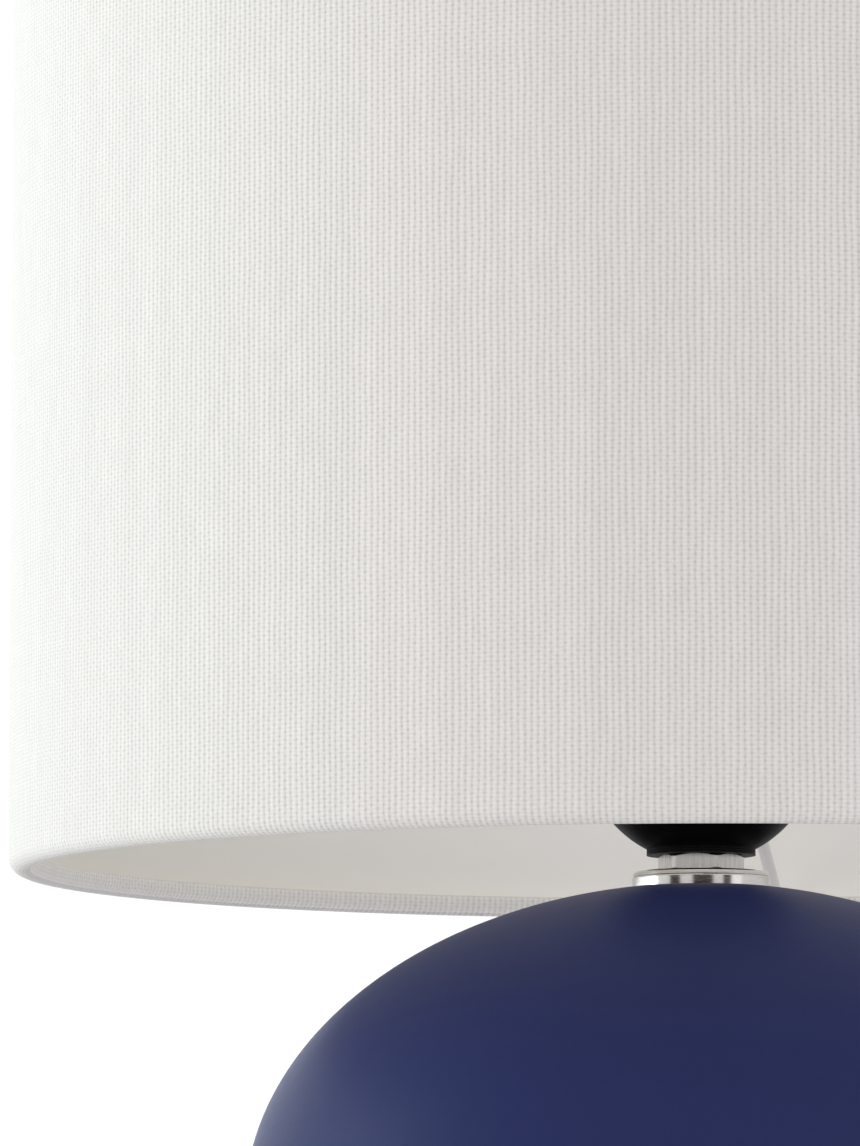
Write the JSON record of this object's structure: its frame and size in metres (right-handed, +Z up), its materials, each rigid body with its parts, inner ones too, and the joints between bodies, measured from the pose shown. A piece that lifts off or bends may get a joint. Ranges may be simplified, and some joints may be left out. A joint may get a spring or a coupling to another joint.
{
  "type": "table lamp with shade",
  "caption": "Small table lamp with a flattened blue glazed ceramic globe base, a chromed neck, a black lampholder and a pale woven drum shade.",
  "frame": {"origin": "middle of the felt pad's underside, on the surface that the lamp stands on, below the lamp's axis", "axes": "+Z up the lamp's axis; +Y to the back, where the flex comes in; +X to the right seen from the front"},
  "size_m": [0.25, 0.25, 0.29],
  "materials": {
    "glaze_blue": "satin",
    "felt_dark": "matt felt",
    "rubber_black": "matt",
    "zinc_steel": "zinc plated",
    "chrome": "polished",
    "brass": "bright",
    "gland_black": "moulded",
    "nylon_white": "moulded",
    "sleeve_brown": "smooth sleeving",
    "sleeve_blue": "smooth sleeving",
    "holder_black": "moulded thermoset, satin",
    "porcelain": "unglazed",
    "white_wire": "white powder coat",
    "shade_fabric": "plain weave",
    "shade_lining": "smooth laminate",
    "bulb_opal": "opal",
    "bulb_white": "moulded",
    "cap_nickel": "nickel plated",
    "insulator_black": "glassy",
    "board_white": "white solder mask",
    "phosphor": "cast",
    "board_green": "solder mask"
  },
  "bodies": {
    "base": {"ceramic_base": "glaze_blue", "felt_pad": "felt_dark", "base_gasket": "rubber_black", "clamp_plate": "zinc_steel", "spring_washer": "zinc_steel", "base_nut": "zinc_steel", "threaded_tube": "zinc_steel", "tube_bushes": "nylon_white", "cable_gland": "gland_black", "gland_nut": "gland_black", "terminal_block": "nylon_white", "terminal_tubes": "brass", "terminal_screws": "brass", "block_screw": "zinc_steel", "lead_live": "sleeve_brown", "lead_neutral": "sleeve_blue", "neck_gasket": "rubber_black", "neck_cup": "chrome", "neck_washer": "chrome", "neck_nut": "chrome", "holder_dome": "holder_black", "dome_lock_screw": "zinc_steel", "holder_insert": "porcelain", "holder_rivets": "brass", "centre_contact": "brass", "screw_shell": "brass", "holder_clamps": "brass", "holder_clamp_screws": "brass", "holder_skirt": "holder_black"},
    "shade_ring": {"shade_ring": "white_wire"},
    "shade": {"fitter_ring": "white_wire", "spider_arms": "white_wire", "lower_rim_wire": "white_wire", "upper_rim_wire": "white_wire", "shade_liner": "shade_lining", "shade_cover": "shade_fabric"},
    "bulb_tip": {"bulb_contact": "brass"},
    "bulb": {"bulb_globe": "bulb_opal", "bulb_housing": "bulb_white", "bulb_cap": "cap_nickel", "bulb_insulator": "insulator_black", "led_board": "board_white", "led_chips": "phosphor", "led_driver": "board_green"}
  },
  "joints": [
    {"name": "shade_turn", "type": "hinge", "parent": "base", "child": "shade", "pos_m": [0, 0, 0.146], "axis": [0, 0, 1], "continuous": true},
    {"name": "shade_ring_lift", "type": "slide", "parent": "base", "child": "shade_ring", "axis": [0, 0, 1], "range_m": [0, 0.02]},
    {"name": "bulb_rise", "type": "slide", "parent": "base", "child": "bulb_tip", "axis": [0, 0, 1], "range_m": [0, 0.01996]},
    {"name": "bulb_turn", "type": "hinge", "parent": "bulb_tip", "child": "bulb", "pos_m": [0, 0, 0.142], "axis": [0, 0, 1], "range_deg": [0, 1980]}
  ],
  "couplings": [
    {"joint": "bulb_rise", "follows": "bulb_turn", "m_per_rad": 0.00057751}
  ]
}
